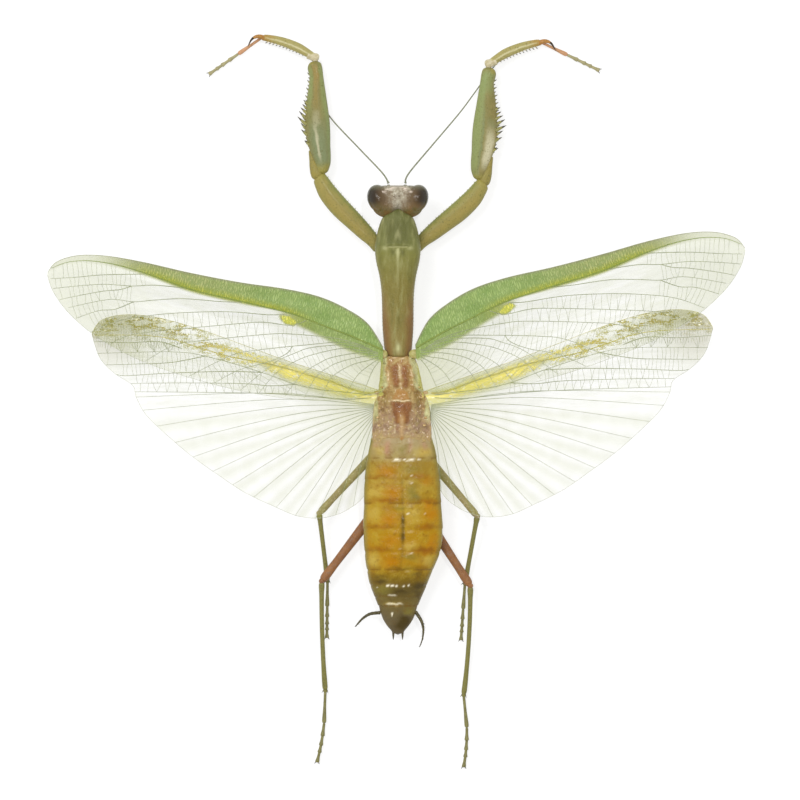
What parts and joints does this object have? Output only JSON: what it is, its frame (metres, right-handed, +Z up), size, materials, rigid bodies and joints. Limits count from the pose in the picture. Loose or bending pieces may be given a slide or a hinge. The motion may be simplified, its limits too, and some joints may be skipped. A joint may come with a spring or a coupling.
{
  "type": "praying mantis",
  "caption": "Life-size dried praying mantis set with its wings spread, its spiny forelegs reaching ahead and its long abdomen resting on the ground.",
  "frame": {"origin": "on the ground, under the middle of the whole spread animal", "axes": "+Y towards the head, +X towards the animal's right, +Z up from the ground"},
  "size_m": [0.1081, 0.1144, 0.0103],
  "materials": {
    "head_shell": "dry brownish-grey shell, satin",
    "eye_shell": "dark brown compound eye, smooth and glossy",
    "green_shell": "olive green shell, satin",
    "leg_shell": "yellowish olive green shell, satin",
    "thorax_shell": "reddish brown shell, satin",
    "abdomen_shell": "amber shell with dark bands, glossy",
    "tip_shell": "dark olive brown shell, satin",
    "red_shell": "reddish brown shell, satin",
    "feeler_shell": "greyish green-brown, matt",
    "forewing_film": "thin pale greenish film with a green front field, satin",
    "hindwing_film": "thin clear film with a golden front band, satin"
  },
  "bodies": {
    "root": {"abdomen": "abdomen_shell", "abdomen_tip": "tip_shell", "antenna_left": "feeler_shell", "antenna_right": "feeler_shell", "cercus_left": "tip_shell", "cercus_right": "tip_shell", "eye_left": "eye_shell", "eye_right": "eye_shell", "fore_coxa_left": "leg_shell", "fore_coxa_right": "leg_shell", "fore_femur_left": "leg_shell", "fore_femur_right": "leg_shell", "fore_tarsus_left": "leg_shell", "fore_tarsus_right": "leg_shell", "fore_tibia_left": "leg_shell", "fore_tibia_right": "leg_shell", "fore_trochanter_left": "leg_shell", "fore_trochanter_right": "leg_shell", "forewing_left": "forewing_film", "forewing_right": "forewing_film", "head": "head_shell", "hind_coxa_left": "leg_shell", "hind_coxa_right": "leg_shell", "hind_femur_left": "red_shell", "hind_femur_right": "red_shell", "hind_tarsus_left": "leg_shell", "hind_tarsus_right": "leg_shell", "hind_tibia_left": "leg_shell", "hind_tibia_right": "leg_shell", "hindwing_left": "hindwing_film", "hindwing_right": "hindwing_film", "mesothorax": "thorax_shell", "metathorax": "thorax_shell", "mid_coxa_left": "leg_shell", "mid_coxa_right": "leg_shell", "mid_femur_left": "leg_shell", "mid_femur_right": "leg_shell", "mid_tarsus_left": "leg_shell", "mid_tarsus_right": "leg_shell", "mid_tibia_left": "leg_shell", "mid_tibia_right": "leg_shell", "neck": "head_shell", "prothorax": "green_shell"}
  },
  "joints": []
}
